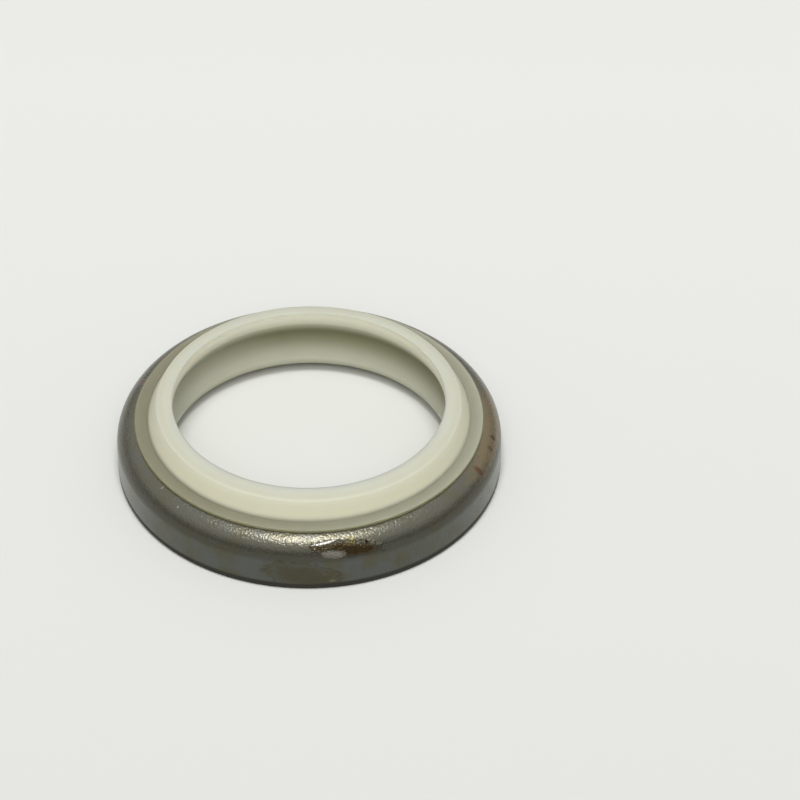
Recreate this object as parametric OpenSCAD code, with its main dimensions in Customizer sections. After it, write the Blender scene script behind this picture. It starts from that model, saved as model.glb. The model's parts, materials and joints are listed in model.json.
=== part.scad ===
// Metal-cased double-lip wiper seal for a hydraulic cylinder rod.
// A pressed steel ring carries one polyurethane moulding with a wiper lip above the flange
// and an inner lip inside the case. Both pieces are bodies of revolution about Z.
// The origin is the centre of the rim plane, with +Z towards the wiper lip. Millimetres.

/* [Fit] */
// Diameter of the rod that runs through the lips
rod_d = 35; // [33.5:0.5:36]
// Outer diameter of the steel case, which is pressed into the housing
case_d = 47; // [46:0.5:50]

/* [Steel case] */
// Height of the case from its rim to its flange face
case_h = 7; // [6.4:0.1:8]
// Thickness of the steel sheet
sheet_t = 1; // [0.8:0.05:1.2]
// Outer radius of the bend between wall and flange
bend_r = 2.9; // [2.2:0.1:3.1]
// Height of the lead-in chamfer on the outer edge of the rim, for pressing the case in
lead_in_h = 0.6; // [0.3:0.05:0.9]
// Depth of the lead-in chamfer
lead_in_w = 0.25; // [0.1:0.05:0.5]

/* [Moulded skin] */
// Thickness of the skin on the flange face
skin_t = 0.3; // [0.2:0.05:0.5]
// Distance of the skin's edge from the outside of the case
skin_inset = 2.2; // [1.8:0.1:2.6]
// Rounding of the skin's edge
skin_round = 0.12; // [0.05:0.01:0.18]
// Thickness of the liner inside the wall
liner_t = 0.4; // [0.3:0.05:0.6]
// Distance of the liner's end from the rim plane
liner_end = 0.15; // [0.05:0.05:0.4]
// Chamfer on the inner edge of the liner's end
liner_chamfer = 0.3; // [0.1:0.05:0.3]

/* [Wiper lip] */
// Height of the whole seal from the rim to the wiper edge
overall_h = 10; // [9:0.1:11]
// How much smaller than the rod the wiper edge is, on the diameter
wiper_squeeze = 1.8; // [1:0.1:2.4]
// Radial width of the top of the wiper lip
wiper_top_w = 1.9; // [1.4:0.05:2.2]
// Fall of the top from the wiper edge out to its crest
wiper_top_fall = 0.35; // [0.1:0.05:0.6]
// Rounding of the crest
crest_round = 0.4; // [0.1:0.05:0.6]
// Radial width of the wiper lip at its foot on the skin
wiper_foot_w = 3.05; // [2.6:0.05:3.2]
// Fillet at the foot of the wiper lip
foot_fillet = 0.25; // [0.1:0.05:0.4]
// Height of the wiper lip's bore land, measured to where the groove's upper side would cut it
land_h = 1.6; // [1.3:0.1:2]
// Radius that turns the land into the groove
land_round = 2; // [1:0.1:2.5]

/* [Bore groove] */
// Clearance between the rod and the bottom of the groove
groove_clear = 0.5; // [0.2:0.05:0.7]
// Height of the bottom of the groove above the rim plane
groove_z = 6; // [5.5:0.1:6.4]
// Fillet in the bottom of the groove
groove_fillet = 0.3; // [0.1:0.05:0.6]

/* [Inner lip] */
// How much smaller than the rod the inner lip is, on the diameter
lip_squeeze = 0.8; // [0.4:0.1:1.4]
// Radial width of the inner lip at its end
lip_w = 2.2; // [2:0.1:2.6]
// Distance of the inner lip's end face from the rim plane
lip_end = 0.95; // [0.6:0.05:1.4]
// Radius of the nose that bears on the rod
nose_r = 1.3; // [0.8:0.1:1.4]
// Rounding of the end face's outer edge
lip_round = 0.4; // [0.1:0.05:0.5]
// Height of the bottom of the pocket between inner lip and wall
pocket_z = 4.9; // [4:0.1:5.2]
// How much wider the inner lip is at the bottom of the pocket
pocket_draft = 0.25; // [0:0.05:0.4]
// Fillet in the bottom of the pocket
pocket_fillet = 0.8; // [0.4:0.05:0.9]
// Moulding between the groove and the edge of the flange
flange_cover = 1.4; // [1.1:0.05:1.7]

/* [Hidden] */
$fn = 180;

// How far one shape reaches into the next, so that they meet cleanly
overlap = 0.02;
// Added to a rounding's arc, so that it crosses its two edges and doesn't just touch them
hair = 0.0005;

// Radii from the axis
case_r = case_d / 2;
wall_in_r = case_r - sheet_t;
liner_in_r = wall_in_r - liner_t;
skin_r = case_r - skin_inset;
wiper_r = (rod_d - wiper_squeeze) / 2;
lip_r = (rod_d - lip_squeeze) / 2;
lip_out_r = lip_r + lip_w;
groove_r = rod_d / 2 + groove_clear;
flange_in_r = groove_r + flange_cover;
bend_start_r = case_r - bend_r;

// Heights above the rim plane
skin_top_z = case_h + skin_t;
mid_flange_z = case_h - sheet_t / 2;
// Inside the sheet, under the edge of the skin, which may lie on the bend
skin_root_z = case_h - bend_r
    + sqrt(pow(bend_r - sheet_t / 4, 2) - pow(max(skin_r - bend_start_r, 0), 2));

// The nose's centre. The groove's lower side leans in, from the groove's bottom to touch the nose
nose_c = [lip_r + nose_r, lip_end + nose_r];
nose_off = nose_c - [groove_r, groove_z];
groove_lean = asin(nose_r / norm(nose_off)) - atan2(nose_off[0], -nose_off[1]);
// It would cut the end face here
nose_corner_r = groove_r - tan(groove_lean) * (groove_z - lip_end);

// Place of an outline's corner, which is [radius from the axis, height, rounding]
function place(corner) = [corner[0], corner[1]];

// Unit vector from a to b
function towards(a, b) = (b - a) / norm(b - a);

// Which way an outline turns at p on its way from a to b: above 0 is to the left
function turn(a, p, b) = cross(p - a, b - p);

// Patch between the corner at p and the arc that rounds it, with neighbours a and b
module corner_patch(a, p, b, rounding) {
    u = towards(p, a);
    v = towards(p, b);
    half = acos(u * v) / 2;
    middle = (u + v) / norm(u + v);
    reach = rounding / tan(half);
    difference() {
        polygon([p + v * reach, p - middle * overlap, p + u * reach]);
        translate(p + middle * rounding / sin(half))
            circle(rounding + hair);
    }
}

// Patches of all the corners that turn one way: 1 to the left, -1 to the right
module corner_patches(corners, way) {
    count = len(corners);
    for (i = [0 : count - 1]) {
        a = place(corners[(i + count - 1) % count]);
        p = place(corners[i]);
        b = place(corners[(i + 1) % count]);
        if (corners[i][2] > 0 && turn(a, p, b) * way > 0)
            corner_patch(a, p, b, corners[i][2]);
    }
}

// Closed outline, anticlockwise: its inner corners are filled and its outer ones cut to their arcs
module rounded_outline(corners) {
    difference() {
        union() {
            polygon([for (corner = corners) place(corner)]);
            corner_patches(corners, -1);
        }
        corner_patches(corners, 1);
    }
}

// Section of the case: wall, bend and flange of one sheet
module case_section() {
    rounded_outline([
        [wall_in_r, 0, 0],
        [case_r - lead_in_w, 0, 0],
        [case_r, lead_in_h, 0],
        [case_r, case_h, bend_r],
        [flange_in_r, case_h, 0],
        [flange_in_r, case_h - sheet_t, 0],
        [wall_in_r, case_h - sheet_t, bend_r - sheet_t],
    ]);
}

// Section of the moulding, run through the middle of the sheet where it lies on the case
module moulding_section() {
    difference() {
        rounded_outline([
            [wall_in_r + sheet_t / 2, liner_end, 0],
            [wall_in_r + sheet_t / 2, mid_flange_z, bend_r - sheet_t / 2],
            [(flange_in_r + min(skin_r, bend_start_r)) / 2, mid_flange_z, 0],
            [skin_r, skin_root_z, 0],
            [skin_r, skin_top_z, skin_round],
            [wiper_r + wiper_foot_w, skin_top_z, foot_fillet],
            [wiper_r + wiper_top_w, overall_h - wiper_top_fall, crest_round],
            [wiper_r, overall_h, 0],
            [wiper_r, overall_h - land_h, land_round],
            [groove_r, groove_z, groove_fillet],
            [nose_corner_r, lip_end, nose_r],
            [lip_out_r, lip_end, lip_round],
            [lip_out_r + pocket_draft, pocket_z, pocket_fillet],
            [liner_in_r, pocket_z, pocket_fillet],
            [liner_in_r, liner_end + liner_chamfer, 0],
            [liner_in_r + liner_chamfer, liner_end, 0],
        ]);
        case_section();
    }
}

module steel_case() {
    color("#585850")
        rotate_extrude()
            case_section();
}

module lip_ring() {
    color("#d6d5c1")
        rotate_extrude()
            moulding_section();
}

steel_case();
lip_ring();
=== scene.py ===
# %% [markdown]
# # A metal-cased wiper seal
# This seal sits at the mouth of a hydraulic cylinder. Its soft lip scrapes dirt off the rod each
# time the rod comes in. It has two pieces: a pressed steel ring, and one polyurethane moulding
# that is bonded round the ring's flange.
#
# The imported model is loaded first. It is the fixed frame: it says how big each piece is and where
# it sits, and it isn't changed here.

# %% Load the frame
import json
import math

import bmesh
import bpy
from mathutils import Matrix, Vector


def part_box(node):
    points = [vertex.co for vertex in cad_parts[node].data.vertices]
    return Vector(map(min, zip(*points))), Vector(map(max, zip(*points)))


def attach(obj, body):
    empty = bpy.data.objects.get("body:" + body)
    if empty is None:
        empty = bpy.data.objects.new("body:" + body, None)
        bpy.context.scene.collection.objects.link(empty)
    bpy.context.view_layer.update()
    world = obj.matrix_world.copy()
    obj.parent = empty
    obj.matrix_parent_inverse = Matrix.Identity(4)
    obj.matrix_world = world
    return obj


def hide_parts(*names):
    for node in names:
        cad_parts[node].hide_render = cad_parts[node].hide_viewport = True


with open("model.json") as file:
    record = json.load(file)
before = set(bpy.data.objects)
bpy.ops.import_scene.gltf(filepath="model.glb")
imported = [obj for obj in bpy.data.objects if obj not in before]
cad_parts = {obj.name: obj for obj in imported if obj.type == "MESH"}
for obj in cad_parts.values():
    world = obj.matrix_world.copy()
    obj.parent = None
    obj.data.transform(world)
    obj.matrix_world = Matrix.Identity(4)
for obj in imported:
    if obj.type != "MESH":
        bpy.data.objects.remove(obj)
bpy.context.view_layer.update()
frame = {"nodes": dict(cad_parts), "record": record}
print("nodes:", sorted(frame["nodes"]))

# %% [markdown]
# ## The camera
# The seal lies flat on a table and is seen from above at about 40 degrees, through a long lens, so
# the ring's far side looks almost as big as its near side. The camera's place is measured from the
# centre of the ring's rim, in millimetres. A small roll about its own axis levels the ring as in the
# photograph.

# %% Camera
MM = 0.001
LENS_MM = 157.5
CAMERA_PLACE = (11.06, -327.25, 281.06)
CAMERA_PITCH = 39.66
CAMERA_ROLL = 0.47

camera_data = bpy.data.cameras.new("long_lens")
camera_data.lens = LENS_MM
camera = bpy.data.objects.new("camera", camera_data)
bpy.context.scene.collection.objects.link(camera)
look = Matrix.Rotation(math.radians(90 - CAMERA_PITCH), 4, "X")
roll = Matrix.Rotation(math.radians(CAMERA_ROLL), 4, "Z")
camera.matrix_world = Matrix.Translation(Vector(CAMERA_PLACE) * MM) @ look @ roll
bpy.context.scene.camera = camera
print("camera distance:", round(camera.location.length / MM), "mm")

# %% [markdown]
# ## The sizes of the section
# Every surface of this seal turns about one axis, so the whole shape is in one section: a drawing
# of radius against height. The main radii and heights are read from the frame, and the rest are
# the thicknesses, radii and chamfers of the two pieces, in millimetres.

# %% Sizes
mounts = {mount["name"]: mount["dims"] for mount in frame["record"]["mounts"]}
case_r = mounts["case_od"]["r_mm"]
wiper_r = mounts["rod_bore"]["r_mm"]
case_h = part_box("steel_case")[1].z / MM
overall_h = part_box("lip_ring")[1].z / MM

SHEET_T = 1.0
BEND_R = 2.9
LEAD_IN_H = 0.6
LEAD_IN_W = 0.25
FLANGE_W = 4.1
SKIN_T = 0.3
SKIN_INSET = 2.2
LINER_T = 0.4
LINER_END = 0.15
LINER_CHAMFER = 0.3

wall_in_r = case_r - SHEET_T
bend_start_r = case_r - BEND_R
bend_start_z = case_h - BEND_R
flange_in_r = case_r - FLANGE_W
flange_under_z = case_h - SHEET_T
skin_r = case_r - SKIN_INSET
skin_top_z = case_h + SKIN_T
liner_in_r = wall_in_r - LINER_T
print("radii", case_r, wiper_r, "heights", round(case_h, 3), round(overall_h, 3))

# %% [markdown]
# ## A pen for sections
# A section is drawn in edit mode as by hand. A plane merged to its centre leaves one vertex, the
# pen. Extruding that vertex draws a straight line to the next corner. When the outline is closed, a
# vertex bevel rounds the corners that need it. A curve with a bevel object could do this too, but
# here each corner keeps its own radius.

# %% Pen helpers
def point(r, z):
    """A place in the section, from millimetres to metres."""
    return Vector((r * MM, 0, z * MM))


def begin_section(name, r, z):
    """A new piece with a single vertex, in edit mode."""
    bpy.ops.object.select_all(action="DESELECT")
    bpy.ops.mesh.primitive_plane_add(size=MM)
    piece = bpy.context.active_object
    piece.name = name
    piece.data.name = name
    bpy.ops.object.mode_set(mode="EDIT")
    bpy.ops.mesh.select_mode(type="VERT")
    bpy.ops.mesh.merge(type="CENTER")
    bpy.ops.transform.translate(value=point(r, z))
    return piece


def line_to(piece, r, z):
    """Draws a straight line from the pen, which is the selected vertex."""
    outline = bmesh.from_edit_mesh(piece.data)
    pen = next(vertex.co.copy() for vertex in outline.verts if vertex.select)
    bpy.ops.mesh.extrude_vertices_move(TRANSFORM_OT_translate={"value": point(r, z) - pen})


def close_outline(piece):
    """Joins the pen to the first vertex and fills the outline, so that it can be bevelled."""
    outline = bmesh.from_edit_mesh(piece.data)
    ends = [vertex for vertex in outline.verts if len(vertex.link_edges) == 1]
    for vertex in ends:
        vertex.select_set(True)
    bpy.ops.mesh.edge_face_add()
    bpy.ops.mesh.select_all(action="SELECT")
    bpy.ops.mesh.edge_face_add()


def round_corner(piece, r, z, radius, segments):
    """Rounds the corner nearest to a place. The bevel's offset is measured along the edges."""
    outline = bmesh.from_edit_mesh(piece.data)
    corner = min(outline.verts, key=lambda vertex: (vertex.co - point(r, z)).length)
    arms = [edge.other_vert(corner).co - corner.co for edge in corner.link_edges]
    reach = radius * MM / math.tan(arms[0].angle(arms[1]) / 2)
    bpy.ops.mesh.select_all(action="DESELECT")
    corner.select_set(True)
    outline.select_flush(True)
    bpy.ops.mesh.bevel(offset=reach, segments=segments, affect="VERTICES", clamp_overlap=False)


print("pen ready")

# %% [markdown]
# ## Turning a section into a ring
# First the filling face is deleted, and long straight edges are cut in half until they are short,
# so that the ring's faces are near squares. Then a Screw modifier with no pitch turns the outline
# once round the Z axis. The spin tool does the same, but it slows down with many steps. The turn
# closes on itself and may leave faces inside out, so doubles are merged and the normals are
# recalculated. Smooth shading by angle keeps the true edges crisp.

# %% Turning helper
SHARP_ANGLE = 32
MERGE_MM = 0.001


def turn_ring(piece, steps, longest):
    """Turns the closed outline round Z, with no edge of it longer than longest, in millimetres."""
    bpy.ops.mesh.select_all(action="SELECT")
    bpy.ops.mesh.delete(type="ONLY_FACE")
    while True:
        outline = bmesh.from_edit_mesh(piece.data)
        long_edges = [edge for edge in outline.edges if edge.calc_length() > longest * MM]
        if not long_edges:
            break
        bpy.ops.mesh.select_all(action="DESELECT")
        for edge in long_edges:
            edge.select_set(True)
        bpy.ops.mesh.subdivide(number_cuts=1)
    bpy.ops.object.mode_set(mode="OBJECT")
    bpy.ops.object.modifier_add(type="SCREW")
    screw = piece.modifiers[-1]
    screw.steps = steps
    screw.render_steps = steps
    screw.use_merge_vertices = True
    screw.merge_threshold = MERGE_MM * MM
    bpy.ops.object.modifier_apply(modifier=screw.name)
    bpy.ops.object.mode_set(mode="EDIT")
    bpy.ops.mesh.select_all(action="SELECT")
    bpy.ops.mesh.remove_doubles(threshold=MERGE_MM * MM)
    bpy.ops.mesh.normals_make_consistent(inside=False)
    bpy.ops.object.mode_set(mode="OBJECT")
    bpy.ops.object.shade_smooth_by_angle(angle=math.radians(SHARP_ANGLE))
    print(piece.name, "has", len(piece.data.polygons), "faces")


# %% [markdown]
# ## The steel case
# The case is a blank of 1 mm sheet drawn into a cup and pierced: a wall that presses into the
# housing, a bend, and a flange. Its rim was faced on a lathe, which left fine rings, so those are
# three shallow grooves in the section. The steep chamfer leads the case into its housing.

# %% Steel case
RIM_GROOVES = 3
RIM_GROOVE_W = 0.04
RIM_GROOVE_DEPTH = 0.03
EDGE_BREAK = 0.08
rim_w = SHEET_T - LEAD_IN_W

steel_case = begin_section("drawn_case", wall_in_r, 0)
for count in range(RIM_GROOVES):
    ring_r = wall_in_r + rim_w * (count + 1) / (RIM_GROOVES + 1)
    line_to(steel_case, ring_r - RIM_GROOVE_W, 0)
    line_to(steel_case, ring_r, RIM_GROOVE_DEPTH)
    line_to(steel_case, ring_r + RIM_GROOVE_W, 0)
line_to(steel_case, case_r - LEAD_IN_W, 0)
line_to(steel_case, case_r, LEAD_IN_H)
line_to(steel_case, case_r, case_h)
line_to(steel_case, flange_in_r, case_h)
line_to(steel_case, flange_in_r, flange_under_z)
line_to(steel_case, wall_in_r, flange_under_z)
close_outline(steel_case)
round_corner(steel_case, case_r, case_h, BEND_R, segments=18)
round_corner(steel_case, wall_in_r, flange_under_z, BEND_R - SHEET_T, segments=8)
round_corner(steel_case, case_r, LEAD_IN_H, EDGE_BREAK, segments=3)
round_corner(steel_case, case_r - LEAD_IN_W, 0, EDGE_BREAK, segments=3)
turn_ring(steel_case, steps=720, longest=0.45)

# %% [markdown]
# ## The lip ring
# The moulding is one shot of polyurethane that flows round the flange and sets. Going round its
# section: the land of the wiper lip, the groove in the bore, the nose of the inner lip, its end
# face, the pocket, the liner inside the wall, the inside of the case, the skin on the flange, and
# the cone of the wiper lip. The groove's lower side touches the nose, so its lean follows from the
# nose's radius and place. The skin reaches a little way down the bend.

# %% Lip ring: sizes
ROD_R = 17.5
LAND_H = 1.6
GROOVE_CLEAR = 0.5
GROOVE_Z = 6.0
LIP_SQUEEZE = 0.4        # on the radius
LIP_W = 2.2
LIP_END = 0.95
NOSE_R = 1.3
POCKET_Z = 4.9
POCKET_DRAFT = 0.25
WIPER_TOP_W = 1.9
WIPER_TOP_FALL = 0.35
WIPER_FOOT_W = 3.05

land_end_z = overall_h - LAND_H
groove_r = ROD_R + GROOVE_CLEAR
lip_r = ROD_R - LIP_SQUEEZE
lip_out_r = lip_r + LIP_W
pocket_in_r = lip_out_r + POCKET_DRAFT
crest_r = wiper_r + WIPER_TOP_W
crest_z = overall_h - WIPER_TOP_FALL
foot_r = wiper_r + WIPER_FOOT_W
skin_foot_z = bend_start_z + math.sqrt(BEND_R ** 2 - (skin_r - bend_start_r) ** 2)

nose_across = lip_r + NOSE_R - groove_r
nose_below = GROOVE_Z - LIP_END - NOSE_R
nose_away = math.hypot(nose_across, nose_below)
groove_lean = math.asin(NOSE_R / nose_away) - math.atan2(nose_across, nose_below)
nose_corner_r = groove_r - math.tan(groove_lean) * (GROOVE_Z - LIP_END)
print("groove's lower side leans", round(math.degrees(groove_lean), 1), "degrees")

# %% [markdown]
# The pen starts at the wiping edge and goes down the bore, so the corners come in the order of the
# list above. They are drawn sharp, and rounded afterwards.

# %% Lip ring: outline
lip_ring = begin_section("lip_moulding", wiper_r, overall_h)
line_to(lip_ring, wiper_r, land_end_z)
line_to(lip_ring, groove_r, GROOVE_Z)
line_to(lip_ring, nose_corner_r, LIP_END)
line_to(lip_ring, lip_out_r, LIP_END)
line_to(lip_ring, pocket_in_r, POCKET_Z)
line_to(lip_ring, liner_in_r, POCKET_Z)
line_to(lip_ring, liner_in_r, LINER_END + LINER_CHAMFER)
line_to(lip_ring, liner_in_r + LINER_CHAMFER, LINER_END)
line_to(lip_ring, wall_in_r, LINER_END)
line_to(lip_ring, wall_in_r, flange_under_z)
line_to(lip_ring, flange_in_r, flange_under_z)
line_to(lip_ring, flange_in_r, case_h)
line_to(lip_ring, bend_start_r, case_h)
line_to(lip_ring, skin_r, skin_foot_z)
line_to(lip_ring, skin_r, skin_top_z)
line_to(lip_ring, foot_r, skin_top_z)
line_to(lip_ring, crest_r, crest_z)
close_outline(lip_ring)
print("outline of", len(bmesh.from_edit_mesh(lip_ring.data).verts), "corners drawn")

# %% [markdown]
# The corners of a moulding are never quite sharp. The nose, the crest, the pocket and the turn from
# the land into the groove have real radii. Only the wiping edge is trimmed almost sharp, so it gets
# just a hair.

# %% Round the lip ring and turn it
WIPING_EDGE_ROUND = 0.06
LAND_ROUND = 2.0
GROOVE_FILLET = 0.3
LIP_ROUND = 0.4
POCKET_FILLET = 0.8
SKIN_ROUND = 0.12
FOOT_FILLET = 0.25
CREST_ROUND = 0.4

round_corner(lip_ring, wiper_r, overall_h, WIPING_EDGE_ROUND, segments=3)
round_corner(lip_ring, wiper_r, land_end_z, LAND_ROUND, segments=8)
round_corner(lip_ring, groove_r, GROOVE_Z, GROOVE_FILLET, segments=4)
round_corner(lip_ring, nose_corner_r, LIP_END, NOSE_R, segments=14)
round_corner(lip_ring, lip_out_r, LIP_END, LIP_ROUND, segments=6)
round_corner(lip_ring, pocket_in_r, POCKET_Z, POCKET_FILLET, segments=7)
round_corner(lip_ring, liner_in_r, POCKET_Z, POCKET_FILLET, segments=7)
round_corner(lip_ring, wall_in_r, flange_under_z, BEND_R - SHEET_T, segments=6)
round_corner(lip_ring, skin_r, skin_top_z, SKIN_ROUND, segments=4)
round_corner(lip_ring, foot_r, skin_top_z, FOOT_FILLET, segments=5)
round_corner(lip_ring, crest_r, crest_z, CREST_ROUND, segments=8)
turn_ring(lip_ring, steps=480, longest=0.6)

# %% [markdown]
# ## Colours and nodes
# Colours are written as sRGB hex values, as a colour picker shows them, and the renderer works in
# linear light, so one function converts them. A second small function adds a node, sets it up and
# links it, so that a material reads as a list of steps. Sizes of patterns are given in millimetres:
# a noise of scale 1 has features about one unit wide, and the unit here is the metre.
#
# The steel and the polyurethane both need to know where on the seal a point lies, so another
# function makes the nodes for that: Object coordinates, the height, and the distance from the axis.

# %% Colour and node helpers
def colour(hex_code):
    """An sRGB hex value as linear red, green, blue and alpha."""
    parts = [int(hex_code[i:i + 2], 16) / 255 for i in (1, 3, 5)]
    return [p / 12.92 if p <= 0.04045 else ((p + 0.055) / 1.055) ** 2.4 for p in parts] + [1]


def scale_for(size_mm):
    """The scale of a pattern whose features are about size_mm wide."""
    return 1 / (size_mm * MM)


def add(tree, kind, inputs=(), output=None, **settings):
    """Adds a node and gives back one of its outputs: the one named, or the first that is in use.

    Inputs are values or outputs to link from. They go by name, or by number where names repeat.
    """
    node = tree.nodes.new(kind)
    for name, value in settings.items():
        setattr(node, name, value)
    in_use = {socket.name: socket for socket in node.inputs if socket.enabled}
    for key, value in dict(inputs).items():
        socket = in_use[key] if isinstance(key, str) else node.inputs[key]
        if isinstance(value, bpy.types.NodeSocket):
            tree.links.new(value, socket)
        else:
            socket.default_value = value
    if output:
        return node.outputs[output]
    return next((socket for socket in node.outputs if socket.enabled), None)


def new_material(name):
    """A material with nothing but its output and its shader."""
    material = bpy.data.materials.new(name)
    material.use_nodes = True
    tree = material.node_tree
    tree.nodes.clear()
    surface = add(tree, "ShaderNodeBsdfPrincipled")
    add(tree, "ShaderNodeOutputMaterial", {"Surface": surface})
    return material, tree, surface.node


def whereabouts(tree):
    """Object coordinates, with the height and the distance from the axis."""
    place = add(tree, "ShaderNodeTexCoord", output="Object")
    height = add(tree, "ShaderNodeSeparateXYZ", {"Vector": place}, output="Z")
    flat = add(tree, "ShaderNodeVectorMath", {0: place, 1: (1, 1, 0)}, operation="MULTIPLY")
    radius = add(tree, "ShaderNodeVectorMath", {0: flat}, operation="LENGTH")
    return place, height, radius


print("cream is", [round(part, 3) for part in colour("#D5D7C9")])

# %% [markdown]
# ## Drawn and phosphated steel
# Drawing the sheet over the bend roughens it, and the phosphate coat dulls it to a dark grey with
# an olive cast. The eye sees a satin metal with a pebbly highlight on the bend, faint upright draw
# marks on the wall, brownish clouds, and a darker band of painted shade where the bend runs into the
# wall.
# Phosphated steel is dark, so the metal's colour is low. An image could be painted for all this, but
# noise and ranges of height are enough, and they stay sharp in a close view.

# %% Steel: cloudy colour
CLOUD_W = 3
CLOUD_RANGE = (0.4, 0.65)
BEND_FADE = (-0.2, 1.5)        # heights from the start of the bend
steel, tree, shader = new_material("drawn_phosphated_steel")
place, height, radius = whereabouts(tree)

on_bend = add(tree, "ShaderNodeMapRange", {
    "Value": height,
    "From Min": (bend_start_z + BEND_FADE[0]) * MM,
    "From Max": (bend_start_z + BEND_FADE[1]) * MM,
})
clouds = add(tree, "ShaderNodeTexNoise", {
    "Vector": place, "Scale": scale_for(CLOUD_W), "Detail": 6.0,
})
clouds = add(tree, "ShaderNodeMapRange", {
    "Value": clouds, "From Min": CLOUD_RANGE[0], "From Max": CLOUD_RANGE[1],
})
wall_colour = add(tree, "ShaderNodeMix", {
    "Factor": clouds, "A": colour("#5B5E5A"), "B": colour("#585645"),
}, data_type="RGBA")
bend_colour = add(tree, "ShaderNodeMix", {
    "Factor": clouds, "A": colour("#6B6A62"), "B": colour("#6A6656"),
}, data_type="RGBA")
base = add(tree, "ShaderNodeMix", {
    "Factor": on_bend, "A": wall_colour, "B": bend_colour,
}, data_type="RGBA")
print("clouds on the wall and the bend, which starts", round(bend_start_z, 2), "mm up")

# %% [markdown]
# Where the bend starts, the photograph shows the steel darker all round. A band is where a range of
# height that rises meets one that falls, so the two are multiplied.

# %% Steel: painted dark band
# The band is painted shade: it darkens the steel for the dark room that the bend mirrors there.
SHADE_BAND_SHARE = 0.45
SHADE_BAND_RISE = (-0.2, 0.4)        # heights from the start of the bend
SHADE_BAND_FALL = (2.1, 1.3)
rise = add(tree, "ShaderNodeMapRange", {
    "Value": height,
    "From Min": (bend_start_z + SHADE_BAND_RISE[0]) * MM,
    "From Max": (bend_start_z + SHADE_BAND_RISE[1]) * MM,
    "To Max": SHADE_BAND_SHARE,
})
fall = add(tree, "ShaderNodeMapRange", {
    "Value": height,
    "From Min": (bend_start_z + SHADE_BAND_FALL[0]) * MM,
    "From Max": (bend_start_z + SHADE_BAND_FALL[1]) * MM,
})
painted_shade_band = add(tree, "ShaderNodeMath", {0: rise, 1: fall}, operation="MULTIPLY")
base = add(tree, "ShaderNodeMix", {
    "Factor": painted_shade_band, "A": base, "B": colour("#34322A"),
}, data_type="RGBA")
print("dark band made")

# %% [markdown]
# Oil that has dried on the case left a few marks, and there is a trace of rust. Each mark is an
# ellipse on the surface: a Mapping node moves and turns the coordinates into the mark and stretches
# them, so the distance from its centre is 1 at its edge. A little noise makes that edge ragged.
# Places are given as an angle round the axis, a radius and a height, and sizes are half lengths. With
# the noise added, a mark is full at MARK_FULL, gone at MARK_GONE, and outlined just inside that.

# %% Steel: marks
MARKS = {
    # what it is: angle, radius, height, half length, half height, tilt, colour, share, dark outline
    "dried oil on the wall": (-90.5, 23.5, 2.2, 4.8, 1.9, -9, "#48432D", 0.7, 0.3),
    "oil on the bend": (-77.2, 22.9, 5.54, 4.3, 0.88, -6, "#3A2D17", 1, 0.3),
    # The next mark is a painted highlight: a near-white streak for the glint on the oil's edge.
    "painted glint on the oil's edge": (-84.0, 22.35, 6.37, 1.6, 0.1, 6, "#F0EEE6", 1, 0.6),
    "yellow spot in it": (-75.8, 22.4, 6.35, 0.7, 0.35, -5, "#6E6840", 0.7, 0),
    "bare metal in it": (-81.6, 23.2, 5.22, 1.6, 0.55, -4, "#858079", 1, 0.8),
    "pit": (-71.4, 22.7, 6.05, 0.2, 0.22, 0, "#1A0F08", 1, 0),
    "orange spot": (-84.0, 23.5, 2.34, 0.4, 0.15, 0, "#6E5A38", 0.7, 0),
    "yellow spot": (-82.0, 23.5, 1.3, 0.45, 0.2, 0, "#7A7658", 0.7, 0),
    "orange line": (-92.0, 23.5, 0.95, 2.2, 0.1, -1, "#75674B", 0.6, 0),
    "brown film": (-4.0, 22.3, 6.3, 11, 1.1, 0, "#85765C", 0.9, 0),
    "rust": (-23.6, 22.5, 6.2, 0.5, 0.6, 0, "#664232", 0.8, 0),
    "dark spot": (-7.0, 22.6, 6.2, 0.45, 0.35, 0, "#4E4029", 0.8, 0),
    "second dark spot": (-12.4, 22.6, 6.2, 0.4, 0.3, 0, "#54482F", 0.7, 0),
    "pinkish spot": (162.0, 21.5, 6.9, 0.9, 0.5, 0, "#857164", 0.6, 0),
    # The next two marks are painted highlights: pale specks for glints in the highlight on the bend.
    "painted glint speck": (-142.5, 21.8, 6.8, 0.12, 0.1, 0, "#A9A698", 0.8, 0),
    "second painted glint": (-133.0, 22.2, 6.5, 0.12, 0.1, 0, "#A9A698", 0.8, 0),
}
MARK_DEPTH = 6
MARK_FULL = 1.0
MARK_GONE = 1.55
OUTLINE_AT = 1.42
OUTLINE_HALF_W = 0.05
RAGGED = 0.9
RAGGED_W = 0.7
ragged = add(tree, "ShaderNodeTexNoise", {
    "Vector": place, "Scale": scale_for(RAGGED_W), "Detail": 6.0,
})


def mark_distance(angle, r, z, half_length, half_height, tilt):
    """Distance from a mark's centre, in half lengths, with the noise added."""
    turn = math.radians(angle)
    inside = add(tree, "ShaderNodeMapping", {
        "Vector": place,
        "Location": Vector((r * math.cos(turn), r * math.sin(turn), z)) * MM,
        "Rotation": (math.radians(tilt), 0, turn),
        "Scale": Vector((MARK_DEPTH, half_length, half_height)) * MM,
    }, vector_type="TEXTURE")
    length = add(tree, "ShaderNodeVectorMath", {0: inside}, operation="LENGTH")
    return add(tree, "ShaderNodeMath", {0: ragged, 1: RAGGED, 2: length}, operation="MULTIPLY_ADD")


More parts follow.
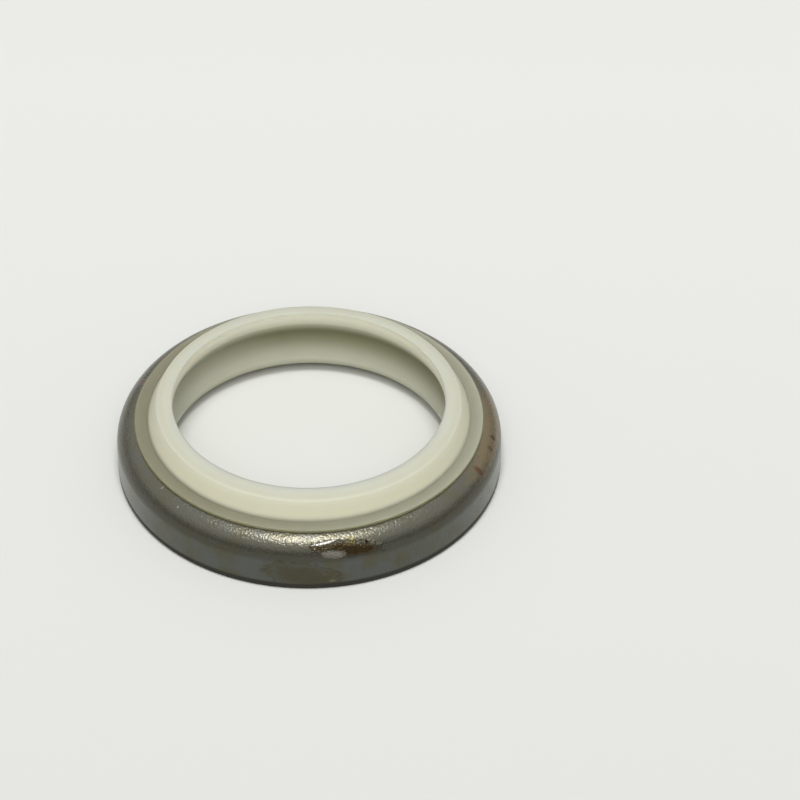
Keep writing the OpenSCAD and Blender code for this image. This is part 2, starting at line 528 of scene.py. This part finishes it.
away = {}
for name, (*where, hex_code, share, outline_share) in MARKS.items():
    away[name] = mark_distance(*where)
    mask = add(tree, "ShaderNodeMapRange", {
        "Value": away[name], "From Min": MARK_GONE, "From Max": MARK_FULL, "To Max": share,
    })
    base = add(tree, "ShaderNodeMix", {
        "Factor": mask, "A": base, "B": colour(hex_code),
    }, data_type="RGBA")
    if outline_share:
        line = add(tree, "ShaderNodeMath", {
            0: away[name], 1: OUTLINE_AT, 2: OUTLINE_HALF_W,
        }, operation="COMPARE")
        line = add(tree, "ShaderNodeMath", {0: line, 1: outline_share}, operation="MULTIPLY")
        base = add(tree, "ShaderNodeMix", {
            "Factor": line, "A": base, "B": colour("#2E2A1C"),
        }, data_type="RGBA")
print(len(MARKS), "marks made")

# %% [markdown]
# The lead-in at the foot was cut after drawing. It is painted shade: a dark, matt band that is no
# metal, darker than the wall, stands for the contact shadow at the foot. The rim's face was turned
# bright. A thin film of oil is the steel's coat: it brightens the wall where it is seen at a flat
# angle, and there is none on the painted shade.

# %% Steel: painted shade on the lead-in, and bright rim
OIL_FILM = 0.25
OIL_FILM_ROUGHNESS = 0.28
FOOT_SHADE_INSET = (0.4, 0.3)        # in from the outside of the case
FOOT_SHADE_TOP = (0.55, 0.2)         # above the lead-in

outside = add(tree, "ShaderNodeMapRange", {
    "Value": radius,
    "From Min": (case_r - FOOT_SHADE_INSET[0]) * MM,
    "From Max": (case_r - FOOT_SHADE_INSET[1]) * MM,
})
low = add(tree, "ShaderNodeMapRange", {
    "Value": height,
    "From Min": (LEAD_IN_H + FOOT_SHADE_TOP[0]) * MM,
    "From Max": (LEAD_IN_H + FOOT_SHADE_TOP[1]) * MM,
})
rim = add(tree, "ShaderNodeMath", {0: low, 1: outside}, operation="SUBTRACT", use_clamp=True)
# Painted shade: a dark, matt, non-metal band on the lead-in stands for the contact shadow at the foot.
painted_foot_shade = add(tree, "ShaderNodeMath", {0: low, 1: outside}, operation="MULTIPLY")
above_foot_shade = add(tree, "ShaderNodeMath", {0: 1.0, 1: painted_foot_shade}, operation="SUBTRACT")
film = add(tree, "ShaderNodeMath", {0: above_foot_shade, 1: OIL_FILM}, operation="MULTIPLY")
base = add(tree, "ShaderNodeMix", {
    "Factor": rim, "A": base, "B": colour("#8B897F"),
}, data_type="RGBA")
base = add(tree, "ShaderNodeMix", {
    "Factor": painted_foot_shade, "A": base, "B": colour("#2C2A22"),
}, data_type="RGBA")
tree.links.new(base, shader.inputs["Base Color"])
tree.links.new(above_foot_shade, shader.inputs["Metallic"])
tree.links.new(film, shader.inputs["Coat Weight"])
shader.inputs["Coat Roughness"].default_value = OIL_FILM_ROUGHNESS
print("steel colour made")

# %% [markdown]
# The relief is given in millimetres: pebbles on the bend, shallow upright draw marks on the wall,
# and the thickness of the dried oil, whose glossy edge catches the lamp. The real grain is finer,
# and it is drawn here as coarse as it needs to be to show.

# %% Steel: relief
PEBBLE_W = 0.3
PEBBLE_DEPTH = 0.065
DRAW_MARK_W = 0.25
DRAW_MARK_DEPTH = 0.02
DRAW_MARK_SQUASH = 0.12
WRINKLE_DEPTH = 0.2
OIL_DEPTH = 0.06
OIL_FULL = 1.3

pebbles = add(tree, "ShaderNodeTexNoise", {
    "Vector": place, "Scale": scale_for(PEBBLE_W), "Detail": 1.5,
})
upright = add(tree, "ShaderNodeMapping", {"Vector": place, "Scale": (1, 1, DRAW_MARK_SQUASH)})
draw_marks = add(tree, "ShaderNodeTexNoise", {
    "Vector": upright, "Scale": scale_for(DRAW_MARK_W), "Detail": 3.0,
})
on_the_bend = add(tree, "ShaderNodeMath", {0: pebbles, 1: PEBBLE_DEPTH}, operation="MULTIPLY")
on_the_wall = add(tree, "ShaderNodeMath", {0: draw_marks, 1: DRAW_MARK_DEPTH}, operation="MULTIPLY")
relief = add(tree, "ShaderNodeMix", {"Factor": on_bend, "A": on_the_wall, "B": on_the_bend})

oil = add(tree, "ShaderNodeMapRange", {
    "Value": away["oil on the bend"], "From Min": MARK_GONE, "From Max": OIL_FULL,
}, interpolation_type="SMOOTHSTEP")
wrinkles = add(tree, "ShaderNodeMath", {
    0: pebbles, 1: WRINKLE_DEPTH, 2: OIL_DEPTH,
}, operation="MULTIPLY_ADD")
relief = add(tree, "ShaderNodeMath", {0: oil, 1: wrinkles, 2: relief}, operation="MULTIPLY_ADD")
bump = add(tree, "ShaderNodeBump", {"Height": relief, "Strength": 1.0, "Distance": MM})
tree.links.new(bump, shader.inputs["Normal"])
print("steel relief made")

# %% [markdown]
# The steel is satin, and its gloss varies a little with the pebbles, which breaks up the highlight.
# The dried oil is glossier than the steel, and the painted shade on the lead-in is matt.

# %% Steel: gloss
PEBBLE_RANGE = (0.3, 0.7)
PEBBLE_ROUGHNESS = (0.26, 0.36)
OIL_ROUGHNESS = 0.16
FOOT_SHADE_ROUGHNESS = 0.8

roughness = add(tree, "ShaderNodeMapRange", {
    "Value": pebbles, "From Min": PEBBLE_RANGE[0], "From Max": PEBBLE_RANGE[1],
    "To Min": PEBBLE_ROUGHNESS[0], "To Max": PEBBLE_ROUGHNESS[1],
})
roughness = add(tree, "ShaderNodeMix", {"Factor": oil, "A": roughness, "B": OIL_ROUGHNESS})
roughness = add(tree, "ShaderNodeMix", {"Factor": painted_foot_shade, "A": roughness, "B": FOOT_SHADE_ROUGHNESS})
tree.links.new(roughness, shader.inputs["Roughness"])
print("steel has", len(tree.nodes), "nodes")

# %% [markdown]
# ## Moulded polyurethane
# Cast polyurethane is a cream, slightly clouded elastomer. Where it is only a thin skin over the
# steel, the dark metal shows through as a greyish olive. In the bore, the groove is tinted dark olive
# below the wiper lip: this is painted shade, where the lip above shades the groove.
#
# Each zone of the moulding is a range of height or of distance from the axis, so one loop makes them
# all from a list: what it is measured along, where it starts, where it is full, and how it fades.
# Below the flange the moulding is thick further out, so THICKER_BELOW is taken off the distance there.

# %% Polyurethane: zones
THICKER_BELOW = 1.3
FLANGE_FADE = (0.5, 0.2)        # above the flange's underside
rubber, tree, shader = new_material("moulded_polyurethane")
place, height, radius = whereabouts(tree)
to_right = add(tree, "ShaderNodeSeparateXYZ", {"Vector": place}, output="X")

below_flange = add(tree, "ShaderNodeMapRange", {
    "Value": height,
    "From Min": (flange_under_z + FLANGE_FADE[0]) * MM,
    "From Max": (flange_under_z + FLANGE_FADE[1]) * MM,
})
from_axis = add(tree, "ShaderNodeMath", {
    0: below_flange, 1: -THICKER_BELOW * MM, 2: radius,
}, operation="MULTIPLY_ADD")

zone = {}
for name, along, start, full, fade in (
    ("thin skin", from_axis, foot_r - 0.25, foot_r + 0.1, "SMOOTHSTEP"),
    ("outer skin", from_axis, foot_r + 0.55, skin_r - 0.3, "LINEAR"),
    # The next three zones bound the painted shade in the groove.
    ("above the groove", height, GROOVE_Z + 1.9, GROOVE_Z + 0.4, "SMOOTHSTEP"),
    ("below the groove", height, GROOVE_Z - 3.8, GROOVE_Z + 0.2, "SMOOTHSTEP"),
    ("bore", radius, groove_r + 0.6, groove_r + 0.3, "LINEAR"),
    ("painted shade towards the crest", from_axis, crest_r - 1.0, crest_r - 0.1, "LINEAR"),
    ("painted light past the crest", from_axis, crest_r - 0.2, crest_r + 0.15, "LINEAR"),
    ("painted light towards the foot", from_axis, crest_r, foot_r - 0.05, "LINEAR"),
    ("land", radius, wiper_r + 0.3, wiper_r + 0.1, "LINEAR"),
    ("below the edge", height, overall_h - 0.05, overall_h - 0.7, "LINEAR"),
    ("painted shade on the wiping edge", radius, wiper_r + 0.2, wiper_r + 0.06, "LINEAR"),
    ("near the top", height, overall_h - 0.3, overall_h - 0.08, "LINEAR"),
    ("right", to_right, -20, 20, "LINEAR"),
):
    zone[name] = add(tree, "ShaderNodeMapRange", {
        "Value": along, "From Min": start * MM, "From Max": full * MM,
    }, interpolation_type=fade)
print(len(zone), "zones made")

# %% [markdown]
# Some zones are where two ranges meet, so those are multiplied. Then the tints are laid over each
# other like thin paint, in the order of the list. The top of the wiper lip has painted shade towards
# its crest, and the cone starts with painted light, which makes the crest look softer than it is
# modelled. The cone has more painted light towards its foot, and the land under the wiping edge is
# painted light as well. The wiping edge gets painted shade, so that it doesn't show as a bright line.
# The painted shade in the groove is weaker on the left, where the real seal's bore looks lighter.

# %% Polyurethane: tints, painted light and painted shade of the lips
GROOVE_SHADE_FADE = (-17, -4)
GROOVE_SHADE_SHARE = (0.25, 0.8)
HAZE_W = 4

# The groove's tint is painted shade, where the wiper lip above shades the bore.
zone["groove"] = add(tree, "ShaderNodeMapRange", {
    "Value": to_right, "From Min": GROOVE_SHADE_FADE[0] * MM, "From Max": GROOVE_SHADE_FADE[1] * MM,
    "To Min": GROOVE_SHADE_SHARE[0], "To Max": GROOVE_SHADE_SHARE[1],
})
for name, other in (
    ("groove", "above the groove"),
    ("groove", "below the groove"),
    ("groove", "bore"),
    ("land", "below the edge"),
    ("painted shade on the wiping edge", "near the top"),
):
    zone[name] = add(tree, "ShaderNodeMath", {0: zone[name], 1: zone[other]}, operation="MULTIPLY")

haze = add(tree, "ShaderNodeTexNoise", {
    "Vector": place, "Scale": scale_for(HAZE_W), "Detail": 3.0,
})
body = add(tree, "ShaderNodeMix", {
    "Factor": haze, "A": colour("#D5D7C9"), "B": colour("#D2D2BF"),
}, data_type="RGBA")
# Every tint below is painted light or painted shade: darker towards the crest, lighter past it,
# towards the cone's foot and on the land, darker on the wiping edge and in the groove.
for name, tint in (
    ("painted shade towards the crest", "#CECEBB"),
    ("painted light past the crest", "#DADACA"),
    ("painted light towards the foot", "#E3E0C5"),
    ("land", "#F4F3E4"),
    ("painted shade on the wiping edge", "#C9CAB8"),
    ("groove", "#878459"),
):
    body = add(tree, "ShaderNodeMix", {
        "Factor": zone[name], "A": body, "B": colour(tint),
    }, data_type="RGBA")
print("lips tinted")

# %% [markdown]
# The skin is paler towards its edge and towards the right. A thin dark line of painted shade runs
# along its edge, where the skin's step meets the steel. A mould that was turned on a lathe leaves very
# fine rings: they are a noise in one dimension, along the distance from the axis.

# %% Polyurethane: skin and rings
EDGE_SHADE_IN = 0.04
EDGE_SHADE_HALF_W = 0.07
EDGE_SHADE_SHARE = 0.8
RING_W = 0.16
RING_RANGE = (0.35, 0.65)
RING_SHADE = (0.97, 1.0)

inner_skin = add(tree, "ShaderNodeMix", {
    "Factor": zone["right"], "A": colour("#918C72"), "B": colour("#AAA68C"),
}, data_type="RGBA")
outer_skin = add(tree, "ShaderNodeMix", {
    "Factor": zone["right"], "A": colour("#948F77"), "B": colour("#B5B49A"),
}, data_type="RGBA")
skin = add(tree, "ShaderNodeMix", {
    "Factor": zone["outer skin"], "A": inner_skin, "B": outer_skin,
}, data_type="RGBA")
body = add(tree, "ShaderNodeMix", {
    "Factor": zone["thin skin"], "A": body, "B": skin,
}, data_type="RGBA")

# Painted shade: a thin dark line along the skin's edge, at its step.
line = add(tree, "ShaderNodeMath", {
    0: from_axis, 1: (skin_r - EDGE_SHADE_IN) * MM, 2: EDGE_SHADE_HALF_W * MM,
}, operation="COMPARE")
line = add(tree, "ShaderNodeMath", {0: line, 1: EDGE_SHADE_SHARE}, operation="MULTIPLY")
body = add(tree, "ShaderNodeMix", {
    "Factor": line, "A": body, "B": colour("#6F6B49"),
}, data_type="RGBA")

rings = add(tree, "ShaderNodeTexNoise", {
    "W": from_axis, "Scale": scale_for(RING_W), "Detail": 2.0,
}, noise_dimensions="1D")
shade = add(tree, "ShaderNodeMapRange", {
    "Value": rings, "From Min": RING_RANGE[0], "From Max": RING_RANGE[1],
    "To Min": RING_SHADE[0], "To Max": RING_SHADE[1],
})
body = add(tree, "ShaderNodeMix", {
    "Factor": 1.0, "A": body, "B": shade,
}, data_type="RGBA", blend_type="MULTIPLY")
tree.links.new(body, shader.inputs["Base Color"])
print("skin and rings made")

# %% [markdown]
# Light enters the moulding, scatters for about two millimetres and comes out again, which softens
# the shading of the lips. Red goes furthest, so thin edges look warmer. The surface came out of a
# fine mould, so it is satin and mirrors little.

# %% Polyurethane: depth and gloss
SCATTER_MM = 2.5
shader.inputs["Roughness"].default_value = 0.48
shader.inputs["Specular IOR Level"].default_value = 0.3
shader.inputs["Subsurface Weight"].default_value = 1.0
shader.inputs["Subsurface Radius"].default_value = (1.0, 0.9, 0.65)
shader.inputs["Subsurface Scale"].default_value = SCATTER_MM * MM
print("polyurethane has", len(tree.nodes), "nodes")

# %% [markdown]
# ## Seating the pieces
# Each new piece takes the place of the imported node that has its shape, gets its own finish, and
# rides on the seal's one body. The two are bonded, so nothing moves.

# %% Finish and seat the two pieces
for piece, node_name, slot_name, finish in (
    (steel_case, "steel_case", "case_steel", steel),
    (lip_ring, "lip_ring", "lip_polyurethane", rubber),
):
    piece.data.materials.clear()
    piece.data.materials.append(finish)
    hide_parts(node_name)
    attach(piece, "root")
    print(piece.name, "stands for", node_name)

# %% [markdown]
# ## Floor
# The seal lies on pale paper. The paper is shown pale to the camera and to reflections, but it throws
# only part of its light back up into the bore, which keeps the groove dark. A Light Path node tells
# the two apart, and the paper still takes the seal's shadow. It is a little lighter towards the back.

# %% Floor
FLOOR_W = 3
FLOOR_LIGHT_FADE = (-60, 80)
bpy.ops.object.select_all(action="DESELECT")
bpy.ops.mesh.primitive_plane_add(size=FLOOR_W)
floor = bpy.context.active_object
floor.name = "floor"
paper, tree, shader = new_material("matt_white_paper")


def seen_directly(tree):
    """1 for rays from the camera, reflections and glass, and 0 for light bounced off matt surfaces."""
    rays = add(tree, "ShaderNodeLightPath").node.outputs
    seen = rays["Is Camera Ray"]
    for ray in ("Is Glossy Ray", "Is Transmission Ray"):
        seen = add(tree, "ShaderNodeMath", {0: seen, 1: rays[ray]}, operation="MAXIMUM")
    return seen


place = add(tree, "ShaderNodeTexCoord", output="Object")
depth = add(tree, "ShaderNodeSeparateXYZ", {"Vector": place}, output="Y")
# Painted light: the paper is shown a little lighter towards the back.
painted_light_to_back = add(tree, "ShaderNodeMapRange", {
    "Value": depth, "From Min": FLOOR_LIGHT_FADE[0] * MM, "From Max": FLOOR_LIGHT_FADE[1] * MM,
})
pale = add(tree, "ShaderNodeMix", {
    "Factor": painted_light_to_back, "A": colour("#E5E6E1"), "B": colour("#F0F1EC"),
}, data_type="RGBA")
paper_colour = add(tree, "ShaderNodeMix", {
    "Factor": seen_directly(tree), "A": colour("#B9B8AB"), "B": pale,
}, data_type="RGBA")
tree.links.new(paper_colour, shader.inputs["Base Color"])
shader.inputs["Roughness"].default_value = 0.9
shader.inputs["Specular IOR Level"].default_value = 0.1
floor.data.materials.append(paper)
print("floor of", FLOOR_W, "m laid")

# %% [markdown]
# ## Lamps
# A soft overhead lamp leans a little towards the camera and makes the sparkle on the bend. A wide,
# weak lamp behind the camera lifts the surfaces that face it. It is kept out of reflections, where
# it would show as a second bright spot.

# %% Lamps
LAMP_DISTANCE = 2.0


def add_lamp(name, tilt, half_angle, share):
    """A round lamp aimed at the seal, tilted from overhead to the camera. A share of 1 makes white."""
    data = bpy.data.lights.new(name, "AREA")
    data.shape = "DISK"
    data.size = 2 * LAMP_DISTANCE * math.tan(math.radians(half_angle))
    data.energy = share * math.pi ** 2 * LAMP_DISTANCE ** 2
    lamp = bpy.data.objects.new(name, data)
    bpy.context.scene.collection.objects.link(lamp)
    lean = Matrix.Rotation(math.radians(tilt), 4, "X")
    lamp.matrix_world = lean @ Matrix.Translation((0, 0, LAMP_DISTANCE))
    print(name, round(data.energy, 1), "W")
    return lamp


add_lamp("overhead_lamp", tilt=12, half_angle=11, share=0.52)
front_lamp = add_lamp("front_lamp", tilt=42, half_angle=16, share=0.29)
front_lamp.visible_glossy = False

# %% [markdown]
# ## The room
# Weak white light comes from all round. To the camera and in reflections, the room looks pale
# overhead and darker towards the horizon, as walls do, and the steel's wall mirrors that darkness.

# %% Room
FILL = 0.3
HORIZON = (0.06, 0.42)
world = bpy.data.worlds.new("pale_room")
bpy.context.scene.world = world
world.use_nodes = True
tree = world.node_tree
tree.nodes.clear()
fill = add(tree, "ShaderNodeBackground", {"Color": (1, 1, 1, 1), "Strength": FILL})
direction = add(tree, "ShaderNodeTexCoord", output="Object")
upwards = add(tree, "ShaderNodeSeparateXYZ", {"Vector": direction}, output="Z")
overhead = add(tree, "ShaderNodeMapRange", {
    "Value": upwards, "From Min": HORIZON[0], "From Max": HORIZON[1],
}, interpolation_type="SMOOTHSTEP")
room = add(tree, "ShaderNodeMix", {
    "Factor": overhead, "A": colour("#8E8E89"), "B": colour("#EEEFEA"),
}, data_type="RGBA")
shown = add(tree, "ShaderNodeBackground", {"Color": room, "Strength": 1.0})
both = add(tree, "ShaderNodeMixShader", {0: seen_directly(tree), 1: fill, 2: shown})
add(tree, "ShaderNodeOutputWorld", {"Surface": both})
bpy.context.scene.view_settings.view_transform = "Standard"
print("room made")
